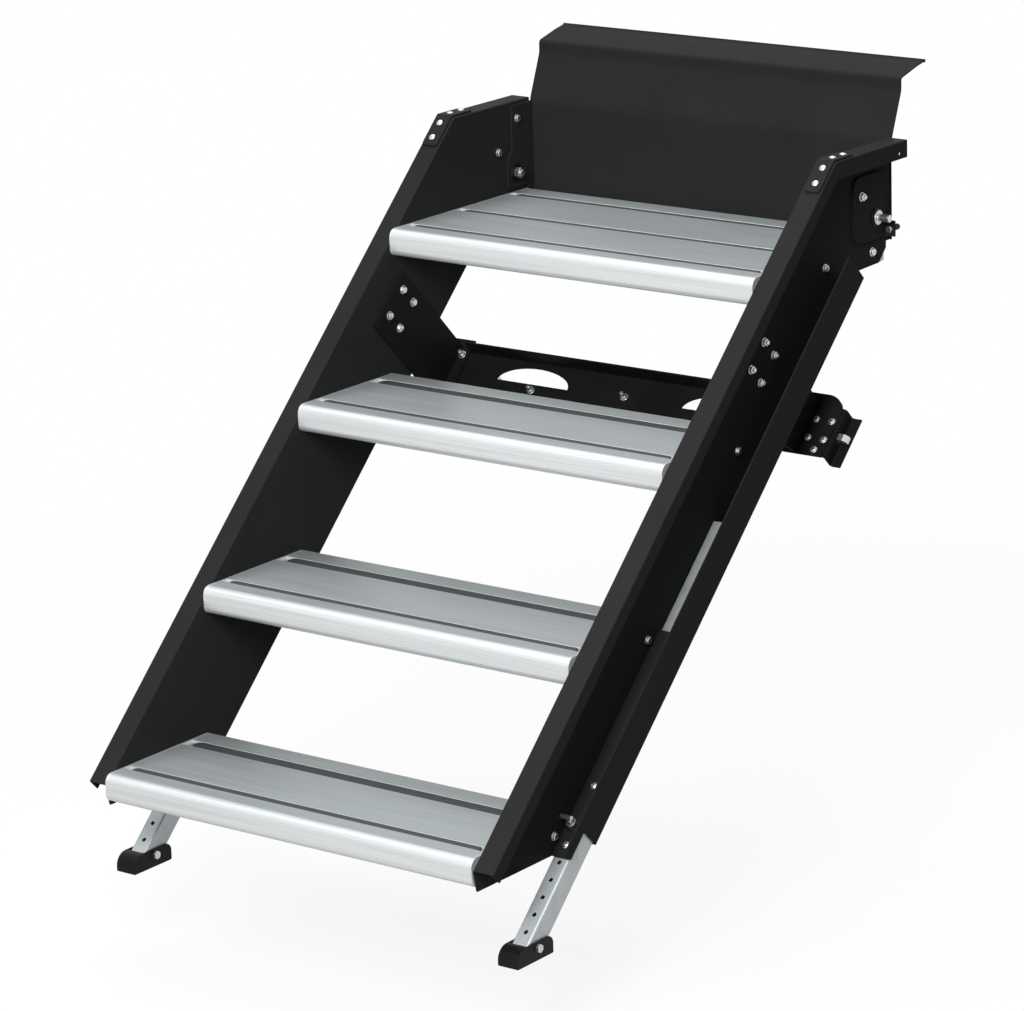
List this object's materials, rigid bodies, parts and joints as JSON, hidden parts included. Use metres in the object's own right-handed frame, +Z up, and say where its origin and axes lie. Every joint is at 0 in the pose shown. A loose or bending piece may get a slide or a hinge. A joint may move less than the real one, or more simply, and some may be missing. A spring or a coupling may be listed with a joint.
{
  "type": "caravan fold-out step",
  "caption": "Fold-out entry step for a caravan door: grooved aluminium treads between black steel stringers, with kick plate, grab beam, sliding punched legs and tilting feet",
  "frame": {"origin": "Middle of the hinge line, between the two pivot studs", "axes": "X runs along the hinge line from left to right as seen by someone climbing the step, Y points into the vehicle, Z points up; the step is down in its climbing position"},
  "size_m": [0.724, 1.0588, 0.9876],
  "materials": {
    "black_steel": "satin black powder coat on folded sheet steel",
    "tread_aluminium": "mill finish extrusion with fine lines along its length",
    "zinc": "bright zinc plate on steel",
    "black_plastic": "matte black moulded plastic",
    "black_rubber": "matte black rubber"
  },
  "bodies": {
    "pivot_mount": {"pivot_studs": "zinc", "pivot_nuts": "zinc"},
    "stair": {"pivot_bushes": "black_plastic", "pivot_plate_left": "black_steel", "pivot_plate_right": "black_steel", "pivot_plate_bolts": "zinc", "stringer_left": "black_steel", "stringer_right": "black_steel", "corner_plate_left": "black_steel", "corner_plate_right": "black_steel", "corner_rivets": "zinc", "tread_top": "tread_aluminium", "tread_second": "tread_aluminium", "tread_third": "tread_aluminium", "tread_bottom": "tread_aluminium", "tread_end_caps": "tread_aluminium", "tread_bolts": "zinc", "grip_strips": "black_rubber", "kick_plate": "black_steel", "kick_plate_bolts": "zinc", "beam_bracket_left": "black_steel", "beam_bracket_right": "black_steel", "bracket_bolts": "zinc", "grab_beam": "black_steel", "beam_bolts": "zinc", "latch_guides": "black_steel", "leg_guide_left": "black_steel", "leg_guide_right": "black_steel", "guide_screws": "zinc", "lock_barrels": "zinc", "stop_bumpers": "black_rubber", "bumper_nuts": "zinc"},
    "leg_left": {"leg_left": "zinc", "foot_bolt_left": "zinc"},
    "leg_right": {"leg_right": "zinc", "foot_bolt_right": "zinc"},
    "foot_left": {"foot_left": "black_plastic"},
    "foot_right": {"foot_right": "black_plastic"},
    "lock_left": {"lock_pin_left": "zinc"},
    "lock_right": {"lock_pin_right": "zinc"},
    "latch_left": {"latch_bolt_left": "zinc"},
    "latch_right": {"latch_bolt_right": "zinc"}
  },
  "joints": [
    {"name": "main_fold", "type": "hinge", "parent": "pivot_mount", "child": "stair", "pos_m": [0, 0, 0], "axis": [-1, 0, 0], "range_deg": [0, 134]},
    {"name": "leg_left_slide", "type": "slide", "parent": "stair", "child": "leg_left", "axis": [0, -0.7216, -0.6923], "range_m": [-0.1016, 0.1524]},
    {"name": "leg_right_slide", "type": "slide", "parent": "stair", "child": "leg_right", "axis": [0, -0.7216, -0.6923], "range_m": [-0.1016, 0.1524]},
    {"name": "foot_left_tilt", "type": "hinge", "parent": "leg_left", "child": "foot_left", "pos_m": [-0.3178, -0.83492, -0.7764], "axis": [1, 0, 0], "range_deg": [-8, 8]},
    {"name": "foot_right_tilt", "type": "hinge", "parent": "leg_right", "child": "foot_right", "pos_m": [0.3178, -0.83492, -0.7764], "axis": [1, 0, 0], "range_deg": [-8, 8]},
    {"name": "leg_left_lock", "type": "slide", "parent": "stair", "child": "lock_left", "axis": [0, 0.6923, -0.7216], "range_m": [0, 0.008]},
    {"name": "leg_right_lock", "type": "slide", "parent": "stair", "child": "lock_right", "axis": [0, 0.6923, -0.7216], "range_m": [0, 0.008]},
    {"name": "latch_left_slide", "type": "slide", "parent": "stair", "child": "latch_left", "axis": [1, 0, 0], "range_m": [0, 0.012], "stiffness_N_per_m": 800, "springref_m": -0.006},
    {"name": "latch_right_slide", "type": "slide", "parent": "stair", "child": "latch_right", "axis": [-1, 0, 0], "range_m": [0, 0.012], "stiffness_N_per_m": 800, "springref_m": -0.006}
  ]
}
